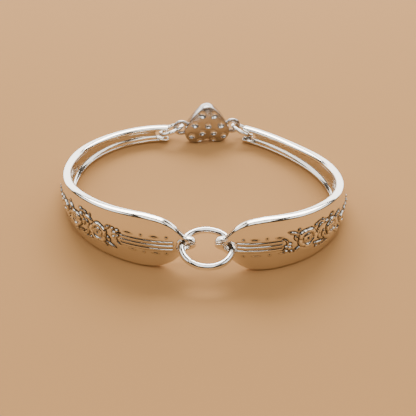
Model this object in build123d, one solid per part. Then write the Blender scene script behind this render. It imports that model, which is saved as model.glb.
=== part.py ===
from build123d import *
import os
from math import asin, cos, degrees, pi, radians, sin, sqrt

# Spoon handle bracelet, in millimetres, +Z up, lying on the lower edges of its two handles.
# The wrist goes through from above. The front ring is at -Y and the heart clasp at +Y.

# The cuff, measured on the handles' centre lines
cuff_half_width = 31.35      # from the middle plane to a handle at its widest
cuff_half_depth = 27.0       # from the middle to the centre line at the front

# Handles
handle_width = 12.8          # across the widest part, near the front
handle_thickness = 2.2       # at the rims, along the body
tip_thickness = 1.7          # at the rims, at the tip
crown = 0.55                 # how far the outer face stands out past its rims
hollow = 0.85                # how far the inner face is dished at the narrow end
tip_gap = 3.9                # between the two tips, inside the front ring
tip_middle = 0.85            # where the middle of that gap lies along X
front_hole = 2.8
front_hole_inset = 3.05      # from the tip to its hole, halfway between the two handles
back_hole = 2.6
back_hole_inset = 2.1        # from the narrow end to its hole

# Rings of round wire
front_ring_radius = 5.25     # of the wire's centre line
front_ring_wire = 1.4
front_ring_dip = 10.5        # degrees that the front of the ring hangs below level
front_ring_lean = 0.25       # how far above the left hole's middle and below the right's it passes
front_ring_slack = 0.1       # how far from a hole's middle it passes, away from the tip
jump_ring_radius = 3.0
jump_ring_wire = 1.0
jump_ring_droop = 12.0       # degrees that the far side of each jump ring hangs below level

# Heart clasp
heart_width = 11.6
heart_height = 11.0           # to where the long sides would meet
heart_depth = 3.3
heart_edge = 0.7             # rounding of both rims
heart_offset = 0.5           # of the heart's middle along X
heart_behind = 0.4           # from the narrow ends' holes to the heart's middle, along Y
heart_turn = 8.0             # degrees that the inner face looks towards +X
heart_lean = 1.5             # degrees that the point leans towards +X
lobe_turn = 30.0             # degrees that each lobe's arc runs on above its widest place
cleft_rounding = 0.5
point_rounding = 2.0
pit_radius = 1.25            # of the ball that makes each round pit
pit_depth = 0.55
eye_radius = 1.6             # of the eye wire's centre line
eye_wire = 1.0
eye_slack = 0.2              # how far from an eye's middle its ring passes, away from the heart
eye_height = 4.2             # above the heart's lobes
eye_seat = 1.3               # how far the eye reaches into the heart

# Raised ornament on the outer faces
relief = 0.32                # height of a petal or leaf
relief_root = 0.45           # how far a raised form goes down into the handle
leaf_width = 1.0             # of each leaf
leaf_edge = 0.12             # height of a leaf at its ends
reed_wire = 0.6              # thickness of each reeded line
reed_spacing = 0.92
reed_start = 4.6             # from the tip
reed_end = 15.6

# How each handle was bent: one arc at the front, one at the wrist's side and one at the back.
# side: -1 left, +1 right; reach and side_radius are shares of the cuff's half width
# front: how far the centre line comes forward, as a share of the cuff's half depth
# headings: degrees from +X, at the tip, the two joins of the arcs and the narrow end
# drilled: distance from the tip to the front hole, as a share of front_hole_inset
# ring_size: radius of its jump ring as a share of jump_ring_radius
# ring_span: how much of that ring's diameter lies between the hole and the heart's eye
# flowers: how much nearer to the tip its flowers stand, as a share of the handle's width
BENDS = {
    "handle_left": dict(side=-1, reach=1.008, front=0.990, side_radius=1.078,
                        headings=(-5.4, 72.2, 102.2, 180.3),
                        drilled=0.87, ring_size=1.0, ring_span=0.965, flowers=0.0),
    "handle_right": dict(side=1, reach=0.992, front=1.007, side_radius=0.896,
                         headings=(-16.3, 69.2, 124.8, 150.6),
                         drilled=1.13, ring_size=0.93, ring_span=0.91, flowers=0.15),
}

# Sections along a handle: distance from the tip as a share of its length, half width and the
# centre line's height as shares of half the handle's width, then shares of crown and hollow
SECTIONS = [
    # along  half_width  height  crown  hollow
    (0.0000, 0.090, 1.000, 0.10, 0.0),
    (0.0060, 0.165, 1.000, 0.20, 0.0),
    (0.0150, 0.215, 1.000, 0.30, 0.0),
    (0.0260, 0.270, 1.000, 0.40, 0.0),
    (0.0380, 0.430, 1.000, 0.55, 0.0),
    (0.0520, 0.635, 1.000, 0.75, 0.05),
    (0.0680, 0.790, 1.000, 0.90, 0.1),
    (0.0880, 0.910, 1.000, 1.00, 0.2),
    (0.1130, 0.975, 1.000, 1.00, 0.25),
    (0.1400, 1.000, 1.000, 1.00, 0.3),
    (0.2150, 0.970, 0.970, 0.95, 0.3),
    (0.3350, 0.880, 0.880, 0.90, 0.35),
    (0.4750, 0.700, 0.700, 0.80, 0.55),
    (0.6200, 0.510, 0.510, 0.70, 0.8),
    (0.8000, 0.365, 0.365, 0.60, 1.0),
    (1.0000, 0.336, 0.336, 0.60, 1.0),
]
TIP_SHARE = 0.14             # share of the length that thins and narrows to the tip
TIP_STATIONS = 14            # sections lofted along it, closer together towards the tip
TIP_CROWDING = 1.4           # how quickly they draw together
BODY_STATIONS = 14           # evenly spaced sections along the rest
NOSE_SHARE = 0.9             # half thickness at the tip as a share of its half width

LOBE_SHARE = 0.265           # radius of each lobe as a share of the heart's width

# Round pits in the heart, in rows from the top: share of half the width, share of the height
PITS = [
    (-0.23, 0.75), (0.27, 0.73),
    (-0.55, 0.51), (0.03, 0.49), (0.60, 0.48),
    (-0.70, 0.22), (-0.23, 0.31), (0.27, 0.30), (0.73, 0.20),
    (-0.33, 0.09), (0.27, 0.09),
]

# Ornament, from the tip along the handle and across it, in shares of the handle's width.
# Across is counted towards the edge that is uppermost on the left handle.
ROSES = [
    # along, across, radius
    (1.664, -0.023, 0.168),
    (2.219, 0.008, 0.152),
    (2.656, 0.023, 0.105),
]
LEAVES = [
    # along, across, half length, turn from the handle's length in degrees
    (1.891, 0.164, 0.105, 35.0),
    (1.977, -0.148, 0.105, -30.0),
    (1.945, 0.016, 0.086, 80.0),
    (2.445, 0.148, 0.102, 25.0),
    (2.492, -0.133, 0.102, -25.0),
    (1.453, 0.148, 0.094, -30.0),
    (1.422, -0.164, 0.102, 32.0),
    (2.867, 0.070, 0.078, 15.0),
    (2.898, -0.055, 0.078, -20.0),
]
DASHES = [
    # along, across, half length, turn, between the flowers and the tip
    (1.078, 0.156, 0.074, 3.0),
    (0.680, 0.156, 0.070, 2.0),
    (1.016, -0.156, 0.074, -3.0),
    (0.641, -0.156, 0.070, -2.0),
]
DOTS = [
    # along, across, radius, between the dashes
    (0.875, 0.160, 0.025),
    (0.812, -0.160, 0.025),
    (0.500, 0.156, 0.023),
    (0.484, -0.156, 0.023),
]
BUDS = [
    # along, across, radius
    (1.344, 0.062, 0.043),
    (1.344, -0.062, 0.043),
    (3.039, 0.023, 0.033),
    (3.172, -0.008, 0.028),
    (3.297, 0.016, 0.025),
]
REEDS = (0.9, -0.1, -1.1)    # across, in reed spacings


def lobe_middle():
    """Where the middle of a lobe lies in the heart: across from the middle and above the lobes' feet."""
    lobe = heart_width * LOBE_SHARE
    return heart_width / 2 - lobe, lobe


def eye_reach():
    """How far from the heart's middle an eye's middle is."""
    return heart_width / 2 + eye_radius + eye_wire / 2 - eye_seat


def eye_pass(side):
    """Where a jump ring passes through an eye of the leaning heart: along its face and upwards."""
    across = side * (eye_reach() + eye_slack)
    lean = radians(heart_lean)
    lobe_x, lobe = lobe_middle()
    lift = lobe * (1 - cos(lean)) + lobe_x * sin(lean)
    along = across * cos(lean) + eye_height * sin(lean)
    return along, eye_height * cos(lean) - across * sin(lean) + lift


def bend_arcs(bend):
    """Centres and radii of the three tangent arcs of one handle's centre line, and their headings."""
    turns = [radians(heading) for heading in bend["headings"]]
    reach = bend["reach"] * cuff_half_width
    side_radius = bend["side_radius"] * cuff_half_width
    tip_x = tip_gap / 2 + bend["side"] * tip_middle
    # The narrow end stops where its jump ring, passed through the heart's eye, can reach its hole
    eye_along, eye_up = eye_pass(bend["side"])
    rise = eye_up - SECTIONS[-1][2] * handle_width / 2
    ring_radius = bend["ring_size"] * jump_ring_radius
    run = sqrt((bend["ring_span"] * 2 * ring_radius) ** 2 - rise**2)
    hole_x = bend["side"] * (eye_along * cos(radians(heart_turn)) + heart_offset) + run
    end_x = hole_x + back_hole_inset * cos(turns[3])
    # The side arc touches the reach, so the other two radii follow from where the two ends are
    front_run = reach - tip_x - side_radius * (1 - sin(turns[1]))
    front_radius = front_run / (sin(turns[1]) - sin(turns[0]))
    back_run = reach - end_x - side_radius * (1 - sin(turns[2]))
    back_radius = back_run / (sin(turns[2]) - sin(turns[3]))
    radii = [front_radius, side_radius, back_radius]
    x = tip_x - front_radius * sin(turns[0])
    y = front_radius - bend["front"] * cuff_half_depth
    arcs = [((x, y), front_radius)]
    for k in (1, 2):
        x += (radii[k - 1] - radii[k]) * sin(turns[k])
        y -= (radii[k - 1] - radii[k]) * cos(turns[k])
        arcs.append(((x, y), radii[k]))
    return arcs, turns


def handle_length(bend):
    """Length of the centre line from the tip to the narrow end."""
    arcs, turns = bend_arcs(bend)
    return sum(arcs[k][1] * (turns[k + 1] - turns[k]) for k in range(3))


def centre_line(bend, along):
    """Point and outward direction of the centre line at a distance from the tip."""
    arcs, turns = bend_arcs(bend)
    left = along
    for k in range(3):
        (cx, cy), radius = arcs[k]
        run = radius * (turns[k + 1] - turns[k])
        if left <= run or k == 2:
            break
        left -= run
    heading = turns[k] + left / radius
    x = cx + radius * sin(heading)
    y = cy - radius * cos(heading)
    return (bend["side"] * x, y), (bend["side"] * sin(heading), -cos(heading))


def along_table(share, column):
    """A column of SECTIONS at any share of the length, on a smooth curve through the rows."""
    rows = SECTIONS
    k = max(i for i in range(len(rows) - 1) if rows[i][0] <= share or i == 0)
    x0, x1 = rows[k][0], rows[k + 1][0]
    y0, y1 = rows[k][column], rows[k + 1][column]
    before, after = rows[max(k - 1, 0)], rows[min(k + 2, len(rows) - 1)]
    slope0 = (y1 - before[column]) / (x1 - before[0])
    slope1 = (after[column] - y0) / (after[0] - x0)
    span = x1 - x0
    u = (share - x0) / span
    return (
        y0 * (1 + 2 * u) * (1 - u) ** 2
        + y1 * u**2 * (3 - 2 * u)
        + span * (slope0 * u * (1 - u) ** 2 - slope1 * u**2 * (1 - u))
    )


def section_sizes(share):
    """Half width, centre height, half thickness at the rims, crown and hollow at a share of the length."""
    half_width = along_table(share, 1) * handle_width / 2
    height = along_table(share, 2) * handle_width / 2
    thin = min(share / TIP_SHARE, 1.0)
    rim = (tip_thickness + (handle_thickness - tip_thickness) * thin) / 2
    rim = min(rim, half_width * NOSE_SHARE)
    return half_width, height, rim, along_table(share, 3) * crown, along_table(share, 4) * hollow


def section(bend, share):
    """Closed section of a handle: crowned outer face, dished inner face and two round rims."""
    half_width, height, rim, bulge, dish = section_sizes(share)
    (x, y), (nx, ny) = centre_line(bend, share * handle_length(bend))
    outward = Vector(nx, ny, 0)
    plane = Plane(origin=(x, y, height), x_dir=outward, z_dir=outward.cross(Vector(0, 0, 1)))
    flat = half_width - rim
    outer = ThreePointArc((rim, -flat), (rim + bulge, 0), (rim, flat))
    top = ThreePointArc((rim, flat), (0, half_width), (-rim, flat))
    if dish > 0:
        inner = ThreePointArc((-rim, flat), (-rim + dish, 0), (-rim, -flat))
    else:
        inner = Line((-rim, flat), (-rim, -flat))
    bottom = ThreePointArc((-rim, -flat), (0, -half_width), (rim, -flat))
    return plane * make_face([outer, top, inner, bottom])


def face_location(bend, along, across):
    """Place on the outer face, Z outwards and X along the handle, away from the tip."""
    share = along / handle_length(bend)
    half_width, height, rim, bulge, dish = section_sizes(share)
    (x, y), (nx, ny) = centre_line(bend, along)
    up = -bend["side"] * across
    radius = ((half_width - rim) ** 2 + bulge**2) / (2 * bulge)
    out = rim + bulge - radius + sqrt(radius**2 - up**2)
    lean = asin(up / radius)
    outward = Vector(nx, ny, 0)
    facing = outward * cos(lean) + Vector(0, 0, sin(lean))
    length_dir = Vector(-ny, nx, 0) * bend["side"]
    return Plane(origin=Vector(x, y, height + up) + outward * out, x_dir=length_dir, z_dir=facing)


def ball_over(radius, height):
    """Radius of the ball whose cap has this radius and height."""
    return (radius**2 + height**2) / (2 * height)


def dome(radius, height):
    """Round raised form: a short root under the face and the cap of a ball over it."""
    ball = ball_over(radius, height)
    half_turn = asin(radius / ball) / 2
    shoulder = (ball * sin(half_turn), height - ball + ball * cos(half_turn))
    outline = make_face([
        Line((0, -relief_root), (radius, -relief_root)),
        Line((radius, -relief_root), (radius, 0)),
        ThreePointArc((radius, 0), shoulder, (0, height)),
        Line((0, height), (0, -relief_root)),
    ])
    return revolve(Plane.XZ * outline, Axis.Z)


def leaf(half_length, half_width):
    """Pointed leaf: two arcs that meet at its ends, rising to the cap of a ball in the middle."""
    outline = make_face([
        ThreePointArc((-half_length, 0), (0, half_width), (half_length, 0)),
        ThreePointArc((half_length, 0), (0, -half_width), (-half_length, 0)),
    ])
    ball = ball_over(half_length, relief - leaf_edge)
    blank = extrude(Pos(0, 0, -relief_root) * outline, relief_root + relief)
    return blank & (Pos(0, 0, relief - ball) * Sphere(ball))


def rose(plane, radius):
    """Five outer petals, three inner ones and a bud, each a raised round form."""
    rings = [
        # petals, distance from the middle, petal radius, height, as shares
        (5, 0.58, 0.42, 1.0),
        (3, 0.24, 0.26, 1.5),
        (1, 0.0, 0.15, 1.9),
    ]
    petals = []
    for count, distance, size, height in rings:
        for k in range(count):
            turn = 2 * pi * k / count
            spot = Pos(radius * distance * cos(turn), radius * distance * sin(turn), 0)
            petals.append(plane * spot * dome(radius * size, relief * height))
    return petals


def reed(bend, across):
    """One raised line at a constant height, turned about the front bend's own centre."""
    (cx, cy), radius = bend_arcs(bend)[0][0]
    start = face_location(bend, reed_start, across).origin
    centre = Vector(bend["side"] * cx, cy, start.Z)
    outward = (start - centre).normalized()
    wire = Plane(origin=start, x_dir=outward, z_dir=outward.cross(Vector(0, 0, 1)))
    turn = degrees((reed_end - bend["flowers"] * handle_width - reed_start) / radius)
    return revolve(wire * Circle(reed_wire / 2), Axis(centre, (0, 0, bend["side"])), turn)


def ornament(bend):
    """Every raised form on one handle."""
    forms = []
    width = handle_width
    nearer = bend["flowers"]
    leaves = [(along - nearer, *rest) for along, *rest in LEAVES]
    buds = [(along - nearer, *rest) for along, *rest in BUDS]
    for along, across, radius in ROSES:
        forms += rose(face_location(bend, (along - nearer) * width, across * width), radius * width)
    for along, across, half_length, turn in leaves + DASHES:
        place = face_location(bend, along * width, across * width) * Rot(0, 0, turn)
        forms.append(place * leaf(half_length * width, leaf_width / 2))
    for along, across, radius in buds + DOTS:
        forms.append(face_location(bend, along * width, across * width) * dome(radius * width, relief))
    for across in REEDS:
        forms.append(reed(bend, across * reed_spacing))
    return forms


def handle(bend):
    """One bent handle with two holes and raised ornament, and where each hole's ring passes."""
    length = handle_length(bend)
    crowded = [(k / (TIP_STATIONS - 1)) ** TIP_CROWDING for k in range(TIP_STATIONS)]
    even = [k / (BODY_STATIONS - 1) for k in range(BODY_STATIONS)]
    tip = loft([section(bend, TIP_SHARE * k) for k in crowded])
    body = loft([section(bend, TIP_SHARE + (1 - TIP_SHARE) * k) for k in even])
    forms = ornament(bend)
    solid = (tip + body) + forms[0].fuse(*forms[1:])
    passes = []
    for along, diameter, away in (
        (bend["drilled"] * front_hole_inset, front_hole, front_ring_slack),
        (length - back_hole_inset, back_hole, 0),
    ):
        height = section_sizes(along / length)[1]
        (x, y), (nx, ny) = centre_line(bend, along)
        drill = Plane(origin=(x, y, height), z_dir=(nx, ny, 0))
        solid -= drill * Cylinder(diameter / 2, 4 * handle_thickness)
        onward = Vector(-ny, nx, 0) * bend["side"]
        passes.append(Vector(x, y, height) + onward * away)
    return solid, *passes


def jump_ring(name, first, second):
    """Jump ring between a handle's hole and the heart's eye, its far side hanging lower."""
    droop = radians(jump_ring_droop)
    radius = BENDS[name]["ring_size"] * jump_ring_radius
    return wire_ring(first, second, radius, jump_ring_wire, Vector(0, cos(droop), -sin(droop)))


def wire_ring(first, second, radius, wire, side):
    """Round wire ring through two points, its middle off the line between them towards side."""
    middle = (first + second) / 2
    chord = (second - first).normalized()
    towards = (side - chord * side.dot(chord)).normalized()
    offset = sqrt(radius**2 - ((second - first).length / 2) ** 2)
    centre = middle + towards * offset
    plane = Plane(origin=centre, x_dir=chord, z_dir=chord.cross(towards))
    return plane * Torus(radius, wire / 2)


def heart_outline():
    """Heart standing on its two lobes, with long sides that go on from the lobes to a blunt point."""
    lobe_x, lobe = lobe_middle()
    cleft_z = lobe - sqrt(lobe**2 - lobe_x**2)
    # The long side is one arc. Its middle lies in line with the lobe's middle and the lobe's end,
    # as far from that end as from the point
    turn = radians(lobe_turn)
    rise = heart_height - lobe
    ahead = rise * sin(turn) - lobe_x * cos(turn)
    side_radius = (lobe_x**2 + rise**2 + lobe**2 - 2 * lobe * ahead) / (2 * (lobe - ahead))
    centre_x = lobe_x - (side_radius - lobe) * cos(turn)
    centre_z = lobe - (side_radius - lobe) * sin(turn)
    halfway = (turn + asin((heart_height - centre_z) / side_radius)) / 2
    end_x, end_z = centre_x + side_radius * cos(turn), centre_z + side_radius * sin(turn)
    side_x, side_z = centre_x + side_radius * cos(halfway), centre_z + side_radius * sin(halfway)
    edges = []
    for side in (1, -1):
        edges.append(ThreePointArc((0, cleft_z), (side * lobe_x, 0), (side * end_x, end_z)))
        edges.append(ThreePointArc((side * end_x, end_z), (side * side_x, side_z), (0, heart_height)))
    return make_face(edges)


def heart_clasp(middle):
    """Puffy heart with an eye on each side, and where each eye's ring passes."""
    face = heart_outline()
    face = fillet(face.vertices().sort_by(Axis.Y)[-1], point_rounding)
    cleft = face.vertices().sort_by(lambda v: abs(v.X) + abs(v.Y))[0]
    face = fillet(cleft, cleft_rounding)
    body = extrude(Plane.XZ * face, heart_depth / 2, both=True)
    rims = body.edges().filter_by(lambda e: abs(abs(e.center().Y) - heart_depth / 2) < 0.01)
    body = fillet(rims, heart_edge)
    for across, up in PITS:
        pit = Pos(across * heart_width / 2, -heart_depth / 2 - pit_radius + pit_depth, up * heart_height)
        body -= pit * Sphere(pit_radius)
    for side in (-1, 1):
        body += Pos(side * eye_reach(), 0, eye_height) * Rot(90, 0, 0) * Torus(eye_radius, eye_wire / 2)
    body = Rot(0, heart_lean, 0) * body
    stand = Pos(middle.X, middle.Y, 0) * Rot(0, 0, heart_turn)
    passes = []
    for side in (-1, 1):
        along, up = eye_pass(side)
        passes.append((stand * Pos(along, 0, up)).position)
    return stand * Pos(0, 0, -body.bounding_box().min.Z) * body, passes


left, left_front, left_back = handle(BENDS["handle_left"])
right, right_front, right_back = handle(BENDS["handle_right"])
ends_y = (left_back.Y + right_back.Y) / 2
clasp, (left_eye, right_eye) = heart_clasp(Vector(heart_offset, ends_y + heart_behind, 0))

dip = Vector(0, -cos(radians(front_ring_dip)), -sin(radians(front_ring_dip)))
lean = Vector(0, 0, front_ring_lean)
parts = {
    "handle_left": left,
    "handle_right": right,
    "front_ring": wire_ring(
        left_front + lean, right_front - lean, front_ring_radius, front_ring_wire, dip),
    "jump_ring_left": jump_ring("handle_left", left_back, left_eye),
    "jump_ring_right": jump_ring("handle_right", right_eye, right_back),
    "heart_clasp": clasp,
}

# The origin is at the middle of the whole bracelet, on the surface it lies on
box = Compound([part for part in parts.values()]).bounding_box()
to_origin = Pos(-(box.min.X + box.max.X) / 2, -(box.min.Y + box.max.Y) / 2, -box.min.Z)
os.makedirs("parts", exist_ok=True)
for name, part in parts.items():
    export_step(to_origin * part, f"parts/{name}.step")
print("moved by", to_origin.position)
print("whole size", box.size)
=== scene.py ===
# %% [markdown]
# # A bracelet made from two spoon handles
# Two silver-plated handles, cut from a pair of spoons, are bent into the halves of a cuff. One
# round ring joins their wide ends in front, and two small rings hang their narrow ends on a puffy
# heart clasp behind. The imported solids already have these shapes. This script works them out again
# from the same few sizes and makes the skin that a polished piece of silver needs: smooth curves,
# crisp relief, dark tarnish in the recesses, and light that shows all of it.

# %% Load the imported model
from math import atan2, cos, degrees, pi, radians, sin, sqrt

import bpy
import numpy as np
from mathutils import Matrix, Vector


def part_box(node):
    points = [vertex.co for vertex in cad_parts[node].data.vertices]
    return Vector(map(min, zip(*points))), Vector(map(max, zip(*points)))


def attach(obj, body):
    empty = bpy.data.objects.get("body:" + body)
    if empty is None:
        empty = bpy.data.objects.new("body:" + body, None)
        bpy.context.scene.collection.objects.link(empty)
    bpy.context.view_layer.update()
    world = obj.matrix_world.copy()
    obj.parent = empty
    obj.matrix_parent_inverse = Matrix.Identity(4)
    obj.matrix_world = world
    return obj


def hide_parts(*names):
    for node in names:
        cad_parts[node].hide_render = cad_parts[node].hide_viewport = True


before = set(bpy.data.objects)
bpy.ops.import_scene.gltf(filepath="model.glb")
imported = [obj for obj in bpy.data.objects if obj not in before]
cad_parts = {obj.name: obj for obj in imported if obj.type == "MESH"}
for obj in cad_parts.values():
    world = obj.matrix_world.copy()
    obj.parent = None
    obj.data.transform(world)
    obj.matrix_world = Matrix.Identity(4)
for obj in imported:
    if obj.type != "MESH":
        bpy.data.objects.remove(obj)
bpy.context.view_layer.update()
print("CAD nodes:", ", ".join(sorted(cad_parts)))

# %% [markdown]
# ## Sizes
# All sizes are in millimetres, as on the bench, and become metres only when a mesh is made. They
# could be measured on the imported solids, but a curve worked out from its own few sizes stays
# smooth, so the sizes that drive the solids are written down again here. Only the ornament, the
# lips of the inner faces and the heart's outline and pits are a little different.

# %% Sizes of the cuff
MM = 0.001
cuff_half_width = 31.35       # from the middle plane to a handle at its widest
cuff_half_depth = 27.0        # from the middle to the centre line at the front
handle_width = 12.8           # across the widest part, near the front
front_hole = 2.8
front_hole_inset = 3.05       # from the tip to its hole, halfway between the two handles
back_hole = 2.6
back_hole_inset = 2.1
tip_gap = 3.9
tip_middle = 0.85             # where the middle of that gap lies along X
print("cuff", 2 * cuff_half_width, "by", 2 * cuff_half_depth, "mm")

# %% Sizes of the clasp that the narrow ends hang on
jump_ring_radius = 3.0
heart_width = 11.6
heart_offset = 0.5            # of the heart's middle along X
heart_turn = 8.0              # degrees that its inner face looks towards +X
heart_lean = 1.5              # degrees that its point leans towards +X
lobe_share = 0.265            # radius of a lobe as a share of the width
eye_radius = 1.6
eye_wire = 1.0
eye_height = 4.2              # above the lobes' lowest places
eye_seat = 1.3                # how far an eye reaches into the heart
eye_slack = 0.2               # how far from an eye's middle its ring passes, away from the heart
print("heart", heart_width, "mm wide, on rings", 2 * jump_ring_radius, "mm wide")

# %% [markdown]
# ## The handles' lines
# A bent strip is described by the line along its middle and by its section. The line could be a
# free curve through many points, but a handle is bent over round formers, so three arcs that run
# into each other come closer to it. The sections are rows of a table with a smooth curve through
# them, because a spoon's handle swells and narrows without a corner.

# %% How the two handles differ
# Reach and front are shares of the cuff's half width and half depth, side_radius of the half
# width. Headings are the directions, in degrees, at the ends of the three arcs. Drilled is the
# front hole's place as a share of its inset, ring_size and ring_span belong to the jump ring, and
# flowers is how much nearer to the tip the flowers stand, as a share of the handle's width.
BENDS = {
    "handle_left": dict(side=-1, reach=1.008, front=0.990, side_radius=1.078,
                        headings=(-5.4, 72.2, 102.2, 180.3),
                        drilled=0.87, ring_size=1.0, ring_span=0.965, flowers=0.0),
    "handle_right": dict(side=1, reach=0.992, front=1.007, side_radius=0.896,
                         headings=(-16.3, 69.2, 124.8, 150.6),
                         drilled=1.13, ring_size=0.93, ring_span=0.91, flowers=0.15),
}
print("handles:", ", ".join(BENDS))

# %% Sections from the tip to the narrow end
handle_thickness = 2.2        # at the rims, along the body
tip_thickness = 1.7           # at the rims, at the tip
tip_share = 0.14              # share of the length that thins to the tip
nose_share = 0.9              # half thickness at the very tip as a share of its half width there
crown = 0.55                  # how far the outer face stands out past its rims
hollow = 0.85                 # how far the inner face is dished at the narrow end
SECTIONS = np.array([
    # share of length, half width, height, crown, hollow
    (0.0000, 0.090, 1.000, 0.10, 0.0),
    (0.0060, 0.165, 1.000, 0.20, 0.0),
    (0.0150, 0.215, 1.000, 0.30, 0.0),
    (0.0260, 0.270, 1.000, 0.40, 0.0),
    (0.0380, 0.430, 1.000, 0.55, 0.0),
    (0.0520, 0.635, 1.000, 0.75, 0.05),
    (0.0680, 0.790, 1.000, 0.90, 0.1),
    (0.0880, 0.910, 1.000, 1.00, 0.2),
    (0.1130, 0.975, 1.000, 1.00, 0.25),
    (0.1400, 1.000, 1.000, 1.00, 0.3),
    (0.2150, 0.970, 0.970, 0.95, 0.3),
    (0.3350, 0.880, 0.880, 0.90, 0.35),
    (0.4750, 0.700, 0.700, 0.80, 0.55),
    (0.6200, 0.510, 0.510, 0.70, 0.8),
    (0.8000, 0.365, 0.365, 0.60, 1.0),
    (1.0000, 0.336, 0.336, 0.60, 1.0),
])
print("sections:", len(SECTIONS))

# %% The centre line of each handle
eye_reach = heart_width / 2 + eye_radius + eye_wire / 2 - eye_seat
lobe = heart_width * lobe_share
lobe_x = heart_width / 2 - lobe
lean_angle = radians(heart_lean)
heart_lift = lobe * (1 - cos(lean_angle)) + lobe_x * sin(lean_angle)


def eye_pass(side):
    """Where a jump ring passes through an eye of the leaning heart: along its face and upwards."""
    across = side * (eye_reach + eye_slack)
    along = across * cos(lean_angle) + eye_height * sin(lean_angle)
    return along, eye_height * cos(lean_angle) - across * sin(lean_angle) + heart_lift


def bend_arcs(bend):
    """Three arcs, each starting where and how the one before it ends. The middle arc touches the
    handle's reach; the other two get the radius that brings the tip and the end to their places."""
    turns = np.radians(bend["headings"])
    reach = bend["reach"] * cuff_half_width
    side_radius = bend["side_radius"] * cuff_half_width
    tip_x = tip_gap / 2 + bend["side"] * tip_middle
    eye_along, eye_up = eye_pass(bend["side"])
    rise = eye_up - SECTIONS[-1, 2] * handle_width / 2
    run = sqrt((bend["ring_span"] * 2 * bend["ring_size"] * jump_ring_radius) ** 2 - rise**2)
    hole_x = bend["side"] * (eye_along * cos(radians(heart_turn)) + heart_offset) + run
    end_x = hole_x + back_hole_inset * cos(turns[3])
    front_radius = (reach - tip_x - side_radius * (1 - sin(turns[1]))) / (sin(turns[1]) - sin(turns[0]))
    back_radius = (reach - end_x - side_radius * (1 - sin(turns[2]))) / (sin(turns[2]) - sin(turns[3]))
    radii = np.array([front_radius, side_radius, back_radius])
    x = [tip_x - front_radius * sin(turns[0])]
    y = [front_radius - bend["front"] * cuff_half_depth]
    for k in (1, 2):
        x.append(x[-1] + (radii[k - 1] - radii[k]) * sin(turns[k]))
        y.append(y[-1] - (radii[k - 1] - radii[k]) * cos(turns[k]))
    return np.array(x), np.array(y), radii, turns


def handle_length(bend):
    """Length of the centre line: each arc's radius times its turn, added up."""
    _, _, radii, turns = bend_arcs(bend)
    return float((radii * np.diff(turns)).sum())


def centre_line(bend, along):
    """Point and outward normal at each distance from the tip: centre + radius * (sin h, -cos h),
    where the heading h grows by the distance over the arc's radius."""
    cx, cy, radii, turns = bend_arcs(bend)
    along = np.asarray(along, dtype=float)
    starts = np.concatenate([[0.0], np.cumsum(radii * np.diff(turns))])
    k = np.clip(np.searchsorted(starts, along, side="right") - 1, 0, 2)
    heading = turns[k] + (along - starts[k]) / radii[k]
    x = bend["side"] * (cx[k] + radii[k] * np.sin(heading))
    y = cy[k] - radii[k] * np.cos(heading)
    return x, y, bend["side"] * np.sin(heading), -np.cos(heading)


for name, bend in BENDS.items():
    print(name, "length", round(handle_length(bend), 2), "mm")

# %% Widths and thicknesses along a handle


def along_table(share, column):
    """A column of SECTIONS at any share of the length, on cubic curves whose slope at each row
    is that of the line between the rows before and after it."""
    at, value = SECTIONS[:, 0], SECTIONS[:, column]
    k = np.clip(np.searchsorted(at, share, side="right") - 1, 0, len(at) - 2)
    before, after = np.maximum(k - 1, 0), np.minimum(k + 2, len(at) - 1)
    slope0 = (value[k + 1] - value[before]) / (at[k + 1] - at[before])
    slope1 = (value[after] - value[k]) / (at[after] - at[k])
    span = at[k + 1] - at[k]
    u = (share - at[k]) / span
    return (
        value[k] * (1 + 2 * u) * (1 - u) ** 2 + value[k + 1] * u**2 * (3 - 2 * u)
        + span * (slope0 * u * (1 - u) ** 2 - slope1 * u**2 * (1 - u))
    )


def section_sizes(share):
    """Half width, height of the middle, half thickness, crown and hollow at each share."""
    half_width = along_table(share, 1) * handle_width / 2
    height = along_table(share, 2) * handle_width / 2
    thin = np.minimum(share / tip_share, 1.0)
    rim = (tip_thickness + (handle_thickness - tip_thickness) * thin) / 2
    rim = np.minimum(rim, half_width * nose_share)
    return half_width, height, rim, along_table(share, 3) * crown, along_table(share, 4) * hollow


print("widest:", round(float(2 * section_sizes(np.linspace(0, 1, 200))[0].max()), 2), "mm")

# %% [markdown]
# ## The ornament as a height field
# A spoon's pattern is struck by a die, so it is a relief: every point of the outer face has a
# height above the plain metal. That makes it a function of two numbers, the distance along the
# handle and the distance across it. Each rose, leaf, bud, reed and dash gives its own height and
# its signed distance to its own outline. The relief is the highest of them, with a narrow groove
# just outside every outline, where tarnish settles and draws the pattern in dark lines.

# %% Building blocks of the relief
relief = 0.40                 # height of the boldest forms
hair = 1e-6                   # keeps a width of nothing out of a division


def local(along, across, form_along, form_across, turn=0.0):
    """Coordinates in a form's own frame: moved to its middle and turned by its angle."""
    da, dc = along - form_along, across - form_across
    c, s = cos(radians(turn)), sin(radians(turn))
    return c * da + s * dc, c * dc - s * da


def ridge(distance, width):
    """A smooth bump: 1 on the line, falling to 0 over the width as a Gauss curve."""
    return np.exp(-((distance / width) ** 2))


def half_round(share):
    """The profile of a half-round bar, sqrt(1 - share^2), and nothing past its edge."""
    return np.sqrt(np.clip(1 - share**2, 0, 1))


print("half-round bar, from middle to edge:", half_round(np.array([0, 0.5, 1])).round(3))

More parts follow.
